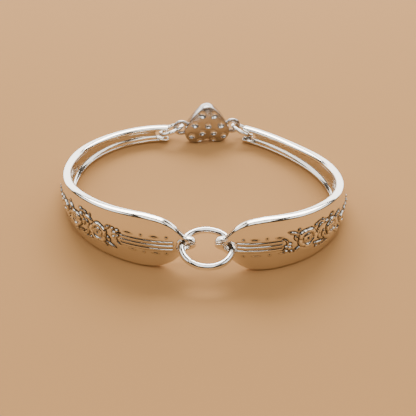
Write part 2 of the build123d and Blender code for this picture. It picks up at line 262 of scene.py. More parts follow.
# %% A rose
petals = 5
petal_swing, petal_skew = 0.05, 0.03          # how far its outline swings, as shares of the radius
ring_middle, ring_half = 0.79, 0.22           # of the ring of petals, as shares of the outline
petal_fall = 0.28                             # how much lower the ring is where petals meet
notch_width, notch_start, notch_rise = 0.18, 0.60, 6     # of the dark lines that part the petals
bud_reach, bud_height = 0.52, 0.95            # shares of the rose's radius and height
pupil_width, pupil_depth = 0.14, 0.8          # of the bud's dark eye
curl_reach, curl_width, curl_depth = 0.30, 0.05, 0.3
curl_turn, curl_gap = 0.8, -0.4               # heading of the bud's curl, cosine where it stops
fold_reach, fold_width = 0.54, 0.07           # of the dark line between ring and bud
rose_height = 1.2                             # times the relief
notch_dark, curl_dark, dark_reach = 0.75, 0.6, 1.02


def rose_form(along, across, form_along, form_across, radius, turn):
    """A thick outer ring of petals round a domed bud. Each is half round in profile; notches
    part the petals, and a dark line runs between ring and bud. The bud has a dark eye."""
    x, y = local(along, across, form_along, form_across, turn)
    angle = np.arctan2(y, x)
    distance = np.hypot(x, y)
    outline = radius * (1 + petal_swing * np.cos(petals * angle) + petal_skew * np.cos(3 * angle + 1))
    u = distance / outline
    petal = np.abs(np.cos(petals / 2 * angle))
    ring = half_round((u - ring_middle) / ring_half) * (1 - petal_fall + petal_fall * petal**0.5)
    bud = bud_height * half_round(distance / (radius * bud_reach))
    pupil = ridge(distance, radius * pupil_width)
    curl = ridge(distance - radius * curl_reach, radius * curl_width)
    curl = curl * (np.cos(angle - curl_turn) > curl_gap)
    height = (np.maximum(ring, bud) - pupil_depth * pupil - curl_depth * curl) * relief * rose_height
    notch = ridge(petal, notch_width) * np.clip((u - notch_start) * notch_rise, 0, 1)
    dark = np.maximum(ridge(u - fold_reach, fold_width), pupil)
    dark = np.maximum(dark, curl_dark * curl)
    dark = np.maximum(dark, notch_dark * notch) * (u < dark_reach)
    return np.where(u < 1, height, 0), (u - 1) * outline, dark


outwards = np.linspace(0, 1, 6)
heights = rose_form(outwards, 0 * outwards, 0, 0, 1.0, 0.0)[0]
print("rose of radius 1, from middle to edge:", heights.round(2), "mm")

# %% A leaf and a bead
leaf_end = 0.55               # height of a leaf at its ends as a share of that in its middle
leaf_run = 1.5                # share of the half length up to which its bow runs on
vein_width, vein_depth = 0.07, 0.45
vein_end = 1.1                # share of the half length where the vein has faded
vein_dark = 0.75
smallest_veined = 0.3         # half width, below which a leaf's vein isn't dark
bead_height = 0.9             # times the relief


def leaf_form(along, across, form_along, form_across, half_length, half_width, turn, bow=0.0):
    """A pointed leaf, as wide as 1 - (x / half length)^2 allows, bowed sideways by its own
    curve, domed across, with a groove for its middle vein."""
    x, y = local(along, across, form_along, form_across, turn)
    share = np.clip(np.abs(x) / half_length, 0, leaf_run)
    y = y - bow * (1 - share**2)
    width = half_width * np.maximum(1 - share**2, 0.0)
    outside = np.hypot(np.maximum(np.abs(x) - half_length, 0), np.maximum(np.abs(y) - width, 0))
    inside = np.minimum(width - np.abs(y), half_length - np.abs(x))
    distance = np.where(outside > 0, outside, -inside)
    vein = ridge(y, vein_width) * np.clip(vein_end - share, 0, 1)
    length_profile = leaf_end + (1 - leaf_end) * np.clip(1 - share**2, 0, 1)
    height = relief * half_round(np.abs(y) / np.maximum(width, hair)) * length_profile
    height = height * (1 - vein_depth * vein)
    dark = vein_dark * vein * (half_width > smallest_veined)
    return np.where(distance < 0, height, 0), distance, np.where(distance < 0, dark, 0)


def bead_form(along, across, form_along, form_across, radius):
    """A round bead: the cap of a ball."""
    x, y = local(along, across, form_along, form_across)
    distance = np.hypot(x, y)
    height = relief * bead_height * half_round(distance / radius)
    return height, distance - radius, np.zeros_like(height)


print("leaf at its middle and ends:", round(relief, 2), "and", round(relief * leaf_end, 2), "mm")

# %% A reed and a scroll
scroll_taper = 1.05           # width^2 falls as this minus the share^2 of the way to an end
scroll_height = 0.8           # times the relief


def line_form(along, across, start, end, form_across, half_width, height_share):
    """A straight reed along the handle: half round across, with a square end."""
    beyond = np.maximum(np.maximum(start - along, along - end), 0)
    side = np.abs(across - form_across)
    distance = np.hypot(np.maximum(side - half_width, 0), beyond)
    distance = np.where((side < half_width) & (beyond == 0), side - half_width, distance)
    height = np.where(distance < 0, relief * height_share * half_round(side / half_width), 0)
    return height, distance, np.zeros_like(height)


def arc_form(along, across, form_along, form_across, radius, first, last, half_width):
    """A scroll: a half-round ridge along part of a circle, thinning towards its ends."""
    x, y = local(along, across, form_along, form_across)
    middle = radians((first + last) / 2)
    half_turn = radians((last - first) / 2)
    angle = (np.arctan2(y, x) - middle + pi) % (2 * pi) - pi
    share = np.abs(angle) / half_turn
    width = half_width * np.sqrt(np.clip(scroll_taper - share**2, 0.0, 1))
    side = np.abs(np.hypot(x, y) - radius)
    distance = np.where(share < 1, side - width, np.hypot(side, (share - 1) * half_turn * radius))
    top = half_round(side / np.maximum(width, hair))
    return np.where(distance < 0, relief * scroll_height * top, 0), distance, np.zeros_like(side)


print("scroll height", round(relief * scroll_height, 2), "mm")

# %% [markdown]
# ## The pattern itself
# Everything here is in millimetres from the tip (along) and from the middle (across). The real
# handle has a large rose and two smaller ones behind it, among leaves that thin out into a trail
# towards the narrow end, and lightly struck reeds in front. Such a design could be scattered at
# random, but it is drawn, so each form has its own place.

# %% Roses and leaves
ROSES = [
    # along, across, radius, turn
    (21.4, -0.35, 2.35, 10.0),
    (28.8, -0.25, 2.05, 50.0),
    (33.9, 0.45, 1.40, 80.0),
]
LEAVES = [
    # along, across, half length, half width, turn, bow
    (24.6, 1.9, 1.75, 0.40, 8.0, 0.30),
    (25.2, -2.0, 1.60, 0.46, -38.0, -0.20),
    (24.7, 0.4, 1.10, 0.40, 78.0, 0.15),
    (25.7, 0.3, 0.95, 0.34, 100.0, -0.10),
    (24.3, -1.0, 0.90, 0.36, -60.0, 0.0),
    (26.7, 1.6, 1.10, 0.40, 50.0, 0.15),
    (26.9, -2.3, 0.95, 0.34, -20.0, 0.0),
    (27.0, 2.9, 0.80, 0.36, 20.0, 0.20),
    (31.2, 2.0, 1.55, 0.40, 14.0, 0.25),
    (31.5, -1.6, 1.35, 0.44, -35.0, -0.15),
    (31.3, 0.5, 0.85, 0.34, 82.0, 0.0),
    (32.2, -0.5, 0.70, 0.28, 110.0, 0.0),
    (18.2, -2.3, 1.45, 0.34, 24.0, -0.10),
    (18.9, 1.7, 0.95, 0.36, -45.0, 0.10),
    (18.6, -1.0, 0.80, 0.32, 70.0, 0.0),
    (28.9, -2.9, 0.95, 0.32, -8.0, -0.10),
    (35.9, 1.5, 1.05, 0.34, 20.0, 0.15),
    (36.1, -0.7, 1.00, 0.34, -28.0, -0.10),
    (37.9, 1.2, 0.80, 0.28, 24.0, 0.0),
    (38.2, -0.5, 0.80, 0.28, -24.0, 0.0),
    (40.0, 1.0, 0.70, 0.25, 26.0, 0.0),
    (40.3, -0.4, 0.70, 0.25, -26.0, 0.0),
    (42.0, 0.8, 0.55, 0.22, 26.0, 0.0),
    (42.2, -0.3, 0.55, 0.22, -26.0, 0.0),
]
print(len(ROSES), "roses and", len(LEAVES), "leaves")

# %% Beads and scrolls between them
BEADS = [
    # along, across, radius
    (17.2, 0.95, 0.52), (16.5, 1.75, 0.42), (17.6, 1.95, 0.34), (17.3, 0.05, 0.36), (16.4, 0.45, 0.30),
    (37.0, 0.35, 0.42), (38.9, 0.3, 0.38), (40.9, 0.28, 0.34), (42.8, 0.25, 0.30), (44.2, 0.25, 0.24),
    (23.9, 2.9, 0.28), (25.6, -3.2, 0.26), (31.6, 2.9, 0.24), (23.6, -2.6, 0.30), (19.4, -2.9, 0.28),
]
SCROLLS = [
    # along, across, radius, first angle, last angle, half width
    (25.7, 2.2, 0.95, 20.0, 170.0, 0.16),
    (24.9, -1.2, 1.9, 215.0, 320.0, 0.16),
    (31.2, 0.8, 1.6, 40.0, 130.0, 0.15),
    (31.4, -0.6, 1.5, 215.0, 320.0, 0.14),
    (15.3, -0.1, 1.5, -75.0, 75.0, 0.15),
]
print(len(BEADS), "beads and", len(SCROLLS), "scrolls")

# %% Lightly struck reeds, dashes and dots
DASHES = [
    # along, across, half length
    (14.0, 1.95, 1.00), (8.5, 2.0, 0.90), (13.1, -2.0, 0.85), (8.2, -2.05, 0.80),
]
DOTS = [
    # along, across, radius
    (11.2, 2.05, 0.26), (10.6, -2.1, 0.24), (6.0, 2.05, 0.26), (6.0, -2.05, 0.24),
]
REEDS = (0.82, -0.10, -1.02)  # across
reed_start, reed_end = 4.7, 15.7
reed_half_width, reed_height = 0.31, 0.75
dash_half_width, dash_turn, dash_bow = 0.18, 3.0, 0.05
print(len(REEDS), "reeds,", len(DASHES), "dashes and", len(DOTS), "dots")

# %% All forms together
ornament_end = 45.0           # how far from the tip the trail of leaves reaches
groove_width = 0.13
groove_depth = 0.12
groove_offset = 0.05          # of the groove's middle outside an outline
faint = 0.35                  # darkness of the lightly struck forms as a share of the others'
faint_height = 0.4            # share of its height that a form with no darkness would keep
far_away = 9.0                # more than the width of any groove


def pattern(along, across, nearer=0.0):
    """Height and darkness of the ornament: the highest form wins, a groove follows every
    outline, and darkness is strongest in the grooves and in each form's own hollows. Reeds,
    dashes and dots are struck more faintly than the flowers, which can stand nearer to the tip."""
    place = along + nearer
    bold = [rose_form(place, across, *row) for row in ROSES]
    bold += [leaf_form(place, across, *row) for row in LEAVES]
    bold += [bead_form(place, across, *row) for row in BEADS]
    bold += [arc_form(place, across, *row) for row in SCROLLS]
    light = [leaf_form(along, across, *row, dash_half_width, dash_turn, dash_bow) for row in DASHES]
    light += [bead_form(along, across, *row) for row in DOTS]
    light += [line_form(along, across, reed_start, reed_end - nearer, reed, reed_half_width, reed_height)
              for reed in REEDS]
    height, own_dark, moat = (np.zeros_like(along) for _ in range(3))
    for forms, weight in ((bold, 1.0), (light, faint)):
        nearest = np.full_like(along, far_away)
        for form_height, distance, dark in forms:
            form_height = form_height * (faint_height + (1 - faint_height) * weight)
            own_dark = np.where(form_height > height, dark * weight, own_dark)
            height = np.maximum(height, form_height)
            nearest = np.minimum(nearest, distance)
        groove = weight * ridge(nearest - groove_offset, groove_width)
        moat = np.maximum(moat, np.where(nearest > -groove_offset, groove, 0))
    return height - groove_depth * moat, np.clip(np.maximum(moat, own_dark), 0, 1)


sample = pattern(*np.meshgrid(np.linspace(0, ornament_end, 400), np.linspace(-4, 4, 90), indexing="ij"))
print("relief from", round(float(sample[0].min()), 2), "to", round(float(sample[0].max()), 2), "mm")

# %% [markdown]
# ## From a grid to a mesh
# Every new piece is a grid of points, rows by columns, worked out as whole arrays. One function
# turns such a grid into faces; it can close the grid round, and its corner order makes the faces
# look outwards. Values that the finish needs, such as how dark the tarnish is, ride along as
# attributes of the points.

# %% Faces of a grid


def grid_faces(index, close_rows=False, close_columns=False):
    """Quads between neighbouring rows and columns of an array of point numbers."""
    if close_rows:
        index = np.vstack([index, index[:1]])
    if close_columns:
        index = np.hstack([index, index[:, :1]])
    a, b = index[:-1, :-1].ravel(), index[1:, :-1].ravel()
    c, d = index[1:, 1:].ravel(), index[:-1, 1:].ravel()
    return np.stack([a, b, c, d], axis=1)


def clean_faces(faces):
    """Corner lists without repeats, so that a quad squeezed to a line at a pole is a triangle."""
    lists = []
    for face in np.asarray(faces).tolist():
        corners = list(dict.fromkeys(face))
        if len(corners) > 2:
            lists.append(corners)
    return lists


print("a grid of 3 by 4 points has", len(grid_faces(np.arange(12).reshape(3, 4))), "faces")

# %% A grid becomes a piece
map_scale = 0.1               # of a piece's UV map, per millimetre of its surface


def make_piece(name, points, faces, attributes=None, maps=None):
    """A mesh object at the origin from points in millimetres and an array of quads. A quad
    with two equal corners becomes a triangle. It rides on the bracelet's one body."""
    mesh = bpy.data.meshes.new(name)
    mesh.from_pydata((np.asarray(points) * MM).tolist(), [], clean_faces(faces))
    for key, values in (attributes or {}).items():
        layer = mesh.attributes.new(key, "FLOAT", "POINT")
        layer.data.foreach_set("value", np.asarray(values, dtype=np.float32))
    if maps is not None:
        layer = mesh.uv_layers.new(name="UVMap")
        corners = np.empty(len(mesh.loops), dtype=np.int32)
        mesh.loops.foreach_get("vertex_index", corners)
        layer.data.foreach_set("uv", (maps * map_scale).astype(np.float32)[corners].ravel())
    mesh.polygons.foreach_set("use_smooth", np.ones(len(mesh.polygons), dtype=bool))
    mesh.update()
    piece = bpy.data.objects.new(name, mesh)
    bpy.context.scene.collection.objects.link(piece)
    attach(piece, "root")
    print(name, len(mesh.vertices), "points,", len(mesh.polygons), "faces")
    return piece


print("one UV unit is", round(1 / map_scale), "mm")

# %% [markdown]
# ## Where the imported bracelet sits
# The sizes give a bracelet on the bench, with its own zero point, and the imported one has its
# origin under its middle. The front ring is worked out here as on the bench. Its box in the
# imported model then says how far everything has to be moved.

# %% Points and circles in space


def unit(vector):
    """The vector divided by its length."""
    return vector / np.linalg.norm(vector)


def ring_frame(first, second, radius, side):
    """Centre and two axes of a circle through two points, its middle off their line to one side."""
    middle = (first + second) / 2
    chord = unit(second - first)
    towards = unit(side - chord * side.dot(chord))
    offset = sqrt(radius**2 - (np.linalg.norm(second - first) / 2) ** 2)
    return middle + towards * offset, chord, towards


def ring_pass(bend, along, away):
    """Where a ring goes through a hole: the hole's middle, moved along the handle."""
    x, y, nx, ny = (float(v) for v in centre_line(bend, along))
    height = float(section_sizes(np.array(along / handle_length(bend)))[1])
    return np.array([x - ny * bend["side"] * away, y + nx * bend["side"] * away, height])


print("on the bench, the left tip is at", ring_pass(BENDS["handle_left"], 0.0, 0.0).round(2), "mm")

# %% The front ring and the frame's origin
front_ring_radius = 5.25
front_ring_dip = 10.5         # degrees that the front of the ring hangs below level
front_ring_lean = 0.25        # how far above the left hole's middle and below the right's it passes
front_ring_slack = 0.1        # how far from a hole's middle it passes, away from the tip
passes = {}
for name, bend in BENDS.items():
    length = handle_length(bend)
    passes[name] = (
        ring_pass(bend, bend["drilled"] * front_hole_inset, front_ring_slack),
        ring_pass(bend, length - back_hole_inset, 0.0),
    )
lean = np.array([0, 0, front_ring_lean])
dip = np.array([0, -cos(radians(front_ring_dip)), -sin(radians(front_ring_dip))])
front_ring_frame = ring_frame(
    passes["handle_left"][0] + lean, passes["handle_right"][0] - lean, front_ring_radius, dip)
low, high = (np.array(corner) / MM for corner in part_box("front_ring"))
to_frame = (low + high) / 2 - front_ring_frame[0]
print("bench origin sits at", to_frame.round(3), "mm in the frame")

# %% [markdown]
# ## The handles
# A handle is one closed skin: an outer face from the lower edge up to the upper one, and an
# inner face back down. Rows of points run across the strip, close together where the ornament
# is and wide apart on the plain part. A strip given its thickness by a Solidify modifier would
# be quicker, but its rims would be square, and here they are as round as on a worn spoon.

# %% Rows and columns of a handle
end_rounding = 0.25
drilled_length = 4.2          # of the narrow end, where the rows are close together
corner_rows = 6
row_step = 0.135              # between rows on the ornament
plain_rows, drilled_rows = 51, 30
face_columns, rim_columns = 73, 9
column_crowding = 0.38        # how strongly the columns draw together in the middle


def row_places(length):
    """Distances of the rows from the tip: crowded round both cut ends as on a quarter circle,
    even over the ornament and the drilled end, and wider on the plain part."""
    quarter = np.linspace(0, pi / 2, corner_rows)
    nose = end_rounding * (1 - np.cos(quarter))
    carved = np.arange(end_rounding + row_step, ornament_end, row_step)
    last_plain, last_drilled = length - drilled_length, length - end_rounding
    plain = np.linspace(ornament_end, last_plain, plain_rows, endpoint=False)
    drilled = np.linspace(last_plain, last_drilled, drilled_rows, endpoint=False)
    end = length - end_rounding * (1 - np.sin(quarter))
    return np.concatenate([nose, carved, plain, drilled, end])


def column_places():
    """For each column from the lower edge to the upper one, its share of the flat face and its
    turn round the rim. The face's columns crowd towards the middle, where the ornament is."""
    t = np.linspace(-1, 1, face_columns)
    face = (1 - column_crowding) * t + column_crowding * t**3
    rim_turn = np.linspace(0, pi / 2, rim_columns + 1)[1:]
    share = np.concatenate([-np.ones(rim_columns), face, np.ones(rim_columns)])
    turn = np.concatenate([-rim_turn[::-1], np.zeros(face_columns), rim_turn])
    return share, turn


for name, bend in BENDS.items():
    print(name, len(row_places(handle_length(bend))), "rows,", len(column_places()[0]), "columns a face")

# %% Points of a handle's skin
rim_share = 0.8               # how far a rim reaches sideways as a share of the half thickness
rim_power = 2 / 3.0           # of sine and cosine, for a superellipse of power 3
rim_arc = 1.3                 # length of the rim's quarter as a share of the half thickness
ornament_fade = 0.12          # share of the half face over which the ornament fades to the rim
lip_width = 0.95              # of the slope from each rim down into the channel
lip_depth = 1.25              # how deep that goes as a share of the hollow


def strip_sizes(along, length):
    """Flat half width, rim, crown, hollow and height, with both cut ends rounded: there the
    strip shrinks by 1 - sqrt(1 - left^2) of the rounding, as a quarter circle does."""
    half_width, height, rim, bulge, dish = section_sizes(along / length)
    from_tip = np.clip(1 - along / end_rounding, 0, 1)
    from_end = np.clip(1 - (length - along) / end_rounding, 0, 1)
    left = np.maximum(from_tip, from_end)
    corner = end_rounding * (1 - np.sqrt(1 - left**2))
    side_rim = rim_share * rim
    return half_width - side_rim, side_rim - corner, rim - corner, bulge, dish, height


def skin_points(bend, along, share, turn, outer):
    """Points of the outer or inner face. The outer face is a shallow arc, out by the crown in
    its middle; the inner one is a channel whose lips slope down as depth * (2 u - u^2) over
    their width. The rim is a quarter of a superellipse of power 3."""
    length = handle_length(bend)
    flat, side_rim, rim, bulge, dish, height = strip_sizes(along, length)
    across = flat * share + side_rim * np.sign(turn) * np.sin(np.abs(turn)) ** rim_power
    out = rim * np.maximum(np.cos(turn), 0) ** rim_power
    round_it = flat * share + rim_arc * rim * turn / (pi / 2)
    if outer:
        out = out + bulge * (1 - share**2)
        carving, dark = pattern(along, -bend["side"] * across, bend["flowers"] * handle_width)
        fade = np.clip((1 - np.abs(share)) / ornament_fade, 0, 1)
        out = out + carving * fade
    else:
        u = np.clip((1 - np.abs(share)) * flat / lip_width, 0, 1)
        out = out - lip_depth * dish * (2 * u - u**2)
        dark = np.zeros_like(out)
    x, y, nx, ny = centre_line(bend, along)
    sign = 1 if outer else -1
    points = np.stack([x + sign * nx * out, y + sign * ny * out, height + across], axis=-1)
    return points + to_frame, np.stack([along, round_it], axis=-1), dark


middle_thickness = 2 * section_sizes(np.array(0.5))[2]
print("thickness at the rims, halfway along:", round(float(middle_thickness), 2), "mm")

# %% [markdown]
# ## Drilled holes
# A Boolean cut would leave long thin faces round each hole, and smooth silver shows them as
# creases. Here the grid itself makes room: a block of it is left out, the points round the block
# slide onto the drill's circle, and the points beyond follow them less and less. A short wall
# with rounded ends then joins the outer face to the inner one.

# %% A hole in the grid
hole_rounding = 0.1
block_share = 0.8             # half size of the block left out as a share of the hole's radius
pulled_rings = 7              # how many points away the grid still moves


def drilled_block(along, across, middle, radius):
    """First and last row and column of the grid points well inside a hole."""
    reach = block_share * radius
    row = int(np.abs(along[:, face_columns // 2 + rim_columns] - middle).argmin())
    rows = np.flatnonzero(np.abs(along[:, 0] - middle) < reach)
    columns = np.flatnonzero(np.abs(across[row]) < reach)
    return rows[0], rows[-1], columns[0], columns[-1]


def pull_to_circle(along, across, block, middle, radius):
    """Moves the block's border onto the circle. Every point outside moves as the border point
    nearest to it by row and column does, times (1 - points away / pulled rings)^2."""
    r0, r1, c0, c1 = block
    rows, columns = np.indices(along.shape)
    near_row, near_column = np.clip(rows, r0, r1), np.clip(columns, c0, c1)
    away = np.maximum(np.abs(rows - near_row), np.abs(columns - near_column))
    border_along, border_across = along[near_row, near_column] - middle, across[near_row, near_column]
    grow = radius / np.hypot(border_along, border_across) - 1
    weight = np.clip(1 - away / pulled_rings, 0, 1) ** 2
    inside = (rows > r0) & (rows < r1) & (columns > c0) & (columns < c1)
    weight = np.where(inside, 0, weight)
    return along + weight * grow * border_along, across + weight * grow * border_across


def border_loop(block):
    """Rows and columns of a block's border, once round."""
    r0, r1, c0, c1 = block
    down, right = np.arange(r0, r1), np.arange(c0, c1)
    rows = np.concatenate([down, np.full(len(right), r1), down[::-1] + 1, np.full(len(right), r0)])
    columns = np.concatenate([np.full(len(down), c0), right, np.full(len(down), c1), right[::-1] + 1])
    return rows, columns


def drilled_grid(bend, length):
    """Distance, share and turn of every grid point, pulled round both holes, and the holes'
    blocks with their middles."""
    share, turn = column_places()
    along, share = np.meshgrid(row_places(length), share, indexing="ij")
    turn = np.broadcast_to(turn, along.shape)
    holes = []
    for middle, radius in (
        (bend["drilled"] * front_hole_inset, front_hole / 2),
        (length - back_hole_inset, back_hole / 2),
    ):
        across = strip_sizes(along, length)[0] * share
        block = drilled_block(along, across, middle, radius)
        moved, across = pull_to_circle(along, across, block, middle, radius + hole_rounding)
        on_face = turn == 0
        along = np.where(on_face, moved, along)
        share = np.where(on_face, across / strip_sizes(along, length)[0], share)
        holes.append((block, middle))
    return along, share, turn, holes


for name, bend in BENDS.items():
    for block, middle in drilled_grid(bend, handle_length(bend))[3]:
        rows_out, columns_out = block[1] - block[0], block[3] - block[2]
        print(name, "hole at", round(middle, 2), "mm leaves out", rows_out, "by", columns_out, "faces")

# %% The wall of a hole
wall_steps = 4                # points of each end's quarter circle


def hole_wall(bend, points, top, bottom, middle):
    """Rows of points from the outer border to the inner one. They run straight through, with
    the radius smaller by the rounding, which is turned as a quarter circle at both ends."""
    x, y, nx, ny = (float(v) for v in centre_line(bend, middle))
    height = float(section_sizes(np.array(middle / handle_length(bend)))[1])
    centre = np.array([x, y, height]) + to_frame
    axis = np.array([nx, ny, 0])
    through = points[bottom] - points[top]
    depth = np.linalg.norm(through, axis=1)
    angle = np.linspace(0, pi / 2, wall_steps + 1)[1:]
    rows = []
    for base, sign in ((top, 1), (bottom, -1)):
        radial = points[base] - centre
        radial = radial - np.outer(radial @ axis, axis)
        radial = radial / np.linalg.norm(radial, axis=1)[:, None]
        for a in angle if sign > 0 else angle[::-1]:
            sink = hole_rounding * (1 - cos(a)) / depth[:, None] * sign
            rows.append(points[base] + through * sink - radial * hole_rounding * sin(a))
    index = len(points) + np.arange(len(rows) * len(top)).reshape(len(rows), len(top))
    index = np.vstack([top, index, bottom])
    return np.concatenate(rows), index


print("a hole's wall has", 2 * wall_steps, "rows between the two faces")

# %% One handle as a mesh
hole_tarnish = 0.35           # in the holes, where the ring keeps the wall half bright


def skin_faces(number, under, holes):
    """Quads of the outer face, of the inner one, and of the two cut ends between them."""
    rows, columns = number.shape
    kept = np.ones((rows - 1, columns - 1), dtype=bool)
    for (r0, r1, c0, c1), _ in holes:
        kept[r0:r1, c0:c1] = False
    outer, inner = (grid_faces(index)[kept.ravel()] for index in (number, under))
    tip = np.stack([number[0, 1:], number[0, :-1], under[0, :-1], under[0, 1:]], axis=1)
    end = np.stack([number[-1, :-1], number[-1, 1:], under[-1, 1:], under[-1, :-1]], axis=1)
    return [outer, inner[:, ::-1], tip, end]


def handle_skin(name):
    """The closed skin of one handle: two faces, two cut ends and two drilled holes."""
    bend = BENDS[name]
    along, share, turn, holes = drilled_grid(bend, handle_length(bend))
    sides = [skin_points(bend, along, share, turn, outer) for outer in (True, False)]
    points = np.concatenate([side[0].reshape(-1, 3) for side in sides])
    maps = np.concatenate([side[1].reshape(-1, 2) for side in sides])
    dark = np.concatenate([side[2].ravel() for side in sides])
    number = np.arange(along.size).reshape(along.shape)
    under = number + along.size
    under[:, 0], under[:, -1] = number[:, 0], number[:, -1]
    faces = skin_faces(number, under, holes)
    for block, middle in holes:
        border = border_loop(block)
        wall, index = hole_wall(bend, points, number[border], under[border], middle)
        points = np.concatenate([points, wall])
        maps = np.concatenate([maps, np.tile([middle, 0.0], (len(wall), 1))])
        dark = np.concatenate([dark, np.full(len(wall), hole_tarnish)])
        faces.append(grid_faces(index, close_columns=True))
    faces = np.concatenate(faces)
    if bend["side"] > 0:
        faces = faces[:, ::-1]
    return points, faces, maps, dark


silver_pieces = []
for name in BENDS:
    points, faces, maps, dark = handle_skin(name)
    skin = make_piece(name + "_skin", points, faces, {"tarnish_and_pit_highlight": dark}, maps)
    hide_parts(name)
    silver_pieces.append(skin)

# %% [markdown]
# ## Rings
# Round wire bent round a rod, cut, and closed again: a torus. Blender has one ready made, but
# its wire is the same all round, and a real ring's two cut ends meet in a fine line. So the torus
# is worked out here, and its wire thins a little over a hair's breadth at the seam.

# %% Skin of a ring of round wire
ring_rows, ring_columns = 240, 40
seam_crowding = 0.35          # how strongly the rows draw together at the seam
seam_thinning = 0.18          # of the wire, at the seam
seam_width = 0.07


def ring_skin(centre, chord, towards, radius, wire, seam_turn):
    """A torus: the circle's point plus half the wire's thickness round it. Rows crowd at the
    seam as turn - crowding * sin(turn), and a Gauss curve thins the wire there."""
    turn = np.linspace(0, 2 * pi, ring_rows, endpoint=False)
    turn = turn - seam_crowding * np.sin(turn)
    from_seam = radius * np.minimum(turn, 2 * pi - turn)
    half = wire / 2 * (1 - seam_thinning * ridge(from_seam, seam_width))
    turn = turn + seam_turn
    angle = np.linspace(0, 2 * pi, ring_columns, endpoint=False)
    spoke = np.outer(np.cos(turn), chord) + np.outer(np.sin(turn), towards)
    axis = np.cross(chord, towards)
    out = half[:, None, None] * np.cos(angle)[None, :, None] * spoke[:, None, :]
    up = half[:, None, None] * np.sin(angle)[None, :, None] * axis
    points = centre + radius * spoke[:, None, :] + out + up
    index = np.arange(ring_rows * ring_columns).reshape(ring_rows, ring_columns)
    faces = grid_faces(index, close_rows=True, close_columns=True)
    maps = np.stack(np.meshgrid(turn * radius, angle * wire / 2, indexing="ij"), axis=-1)
    return points.reshape(-1, 3) + to_frame, faces, maps.reshape(-1, 2)


print("each ring is", ring_rows, "by", ring_columns, "faces")

# %% The three rings
front_ring_wire = 1.4
jump_ring_wire = 1.0
jump_ring_droop = 12.0        # degrees that the far side of each jump ring hangs below level
heart_behind = 0.4            # from the narrow ends' holes to the heart's middle, along Y
left_back, right_back = passes["handle_left"][1], passes["handle_right"][1]
heart_middle = np.array([heart_offset, (left_back[1] + right_back[1]) / 2 + heart_behind, 0])
heart_sideways = np.array([cos(radians(heart_turn)), sin(radians(heart_turn)), 0])
left_eye, right_eye = (
    heart_middle + eye_pass(side)[0] * heart_sideways + np.array([0, 0, eye_pass(side)[1]])
    for side in (-1, 1))
droop = radians(jump_ring_droop)
behind = np.array([0.0, cos(droop), -sin(droop)])
left_radius, right_radius = (
    BENDS[name]["ring_size"] * jump_ring_radius for name in ("handle_left", "handle_right"))
RINGS = {
    # centre and axes, radius, wire, radians from the first axis to the seam
    "front_ring": (front_ring_frame, front_ring_radius, front_ring_wire, 2.2),
    "jump_ring_left": (
        ring_frame(left_back, left_eye, left_radius, behind), left_radius, jump_ring_wire, 1.9),
    "jump_ring_right": (
        ring_frame(right_eye, right_back, right_radius, behind), right_radius, jump_ring_wire, 1.2),
}
ring_pieces = []
for name, (place, radius, wire, seam_turn) in RINGS.items():
    points, faces, maps = ring_skin(*place, radius, wire, seam_turn)
    ring = make_piece(name + "_wire", points, faces, None, maps)
    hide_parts(name)
    ring_pieces.append(ring)

# %% [markdown]
# ## The heart
# The clasp is a small puffy casting that hangs with its point up and has a wire eye on each
# side. Its front, which is called so because the camera sees it, looks into the cuff and is
# pitted. Its back isn't seen in the photo and stays flat and plain. It could be sculpted, but an
# outline of arcs keeps both halves even. The skin goes from the middle of the domed front out to
# the edge, down a straight wall and back to the middle of the back, and each pit is pressed in
# as a shallow round cup.

# %% Arcs of the heart's outline
heart_height = 11.0           # to where the long sides would meet
heart_centre = 0.46 * heart_height      # height that its outline is seen from
lobe_turn = 26.0              # degrees that each lobe's arc runs on above its widest place
point_rounding = 2.4
cleft_rounding = 1.2
arc_steps, point_steps, cleft_steps = 90, 30, 12


def arc_points(centre, radius, first, last, count):
    """Points of an arc from one heading to another."""
    angle = np.radians(np.linspace(first, last, count))
    return np.stack([centre[0] + radius * np.cos(angle), centre[1] + radius * np.sin(angle)], axis=1)


def long_side():
    """Middle and radius of the long side's arc. It goes on from the lobe's end, so its middle
    lies in line with the lobe's, as far from that end as from the point."""
    turn = radians(lobe_turn)
    rise = heart_height - lobe
    ahead = rise * sin(turn) - lobe_x * cos(turn)
    radius = (lobe_x**2 + rise**2 + lobe**2 - 2 * lobe * ahead) / (2 * (lobe - ahead))
    return (lobe_x - (radius - lobe) * cos(turn), lobe - (radius - lobe) * sin(turn)), radius


print("long sides' radius", round(long_side()[1], 2), "mm")

# %% The heart's outline all round


def heart_radii(angles):
    """Distance from the heart's middle to its outline in each direction, read off the right
    half: the cleft's rounding, the lobe's arc, the side's arc and the point's rounding."""
    (side_x, side_z), side_radius = long_side()
    tip_z = side_z + sqrt((side_radius - point_rounding) ** 2 - side_x**2)
    tip_turn = degrees(atan2(tip_z - side_z, -side_x))
    cleft_z = lobe - sqrt((lobe + cleft_rounding) ** 2 - lobe_x**2)
    cleft_turn = degrees(atan2(lobe - cleft_z, lobe_x))
    outline = np.concatenate([
        arc_points((0, cleft_z), cleft_rounding, 90, cleft_turn, cleft_steps),
        arc_points((lobe_x, lobe), lobe, cleft_turn - 180, lobe_turn, arc_steps),
        arc_points((side_x, side_z), side_radius, lobe_turn, tip_turn, arc_steps),
        arc_points((0, tip_z), point_rounding, tip_turn, 90, point_steps)])
    heading = np.arctan2(outline[:, 0], heart_centre - outline[:, 1])
    distance = np.hypot(outline[:, 0], outline[:, 1] - heart_centre)
    folded = np.abs((np.asarray(angles) + pi) % (2 * pi) - pi)
    return np.interp(folded, heading, distance)


outline_points = 320
angles = np.linspace(0, 2 * pi, outline_points, endpoint=False)
radii = heart_radii(angles)
print("heart from", round(float(radii.min()), 2), "to", round(float(radii.max()), 2), "mm")

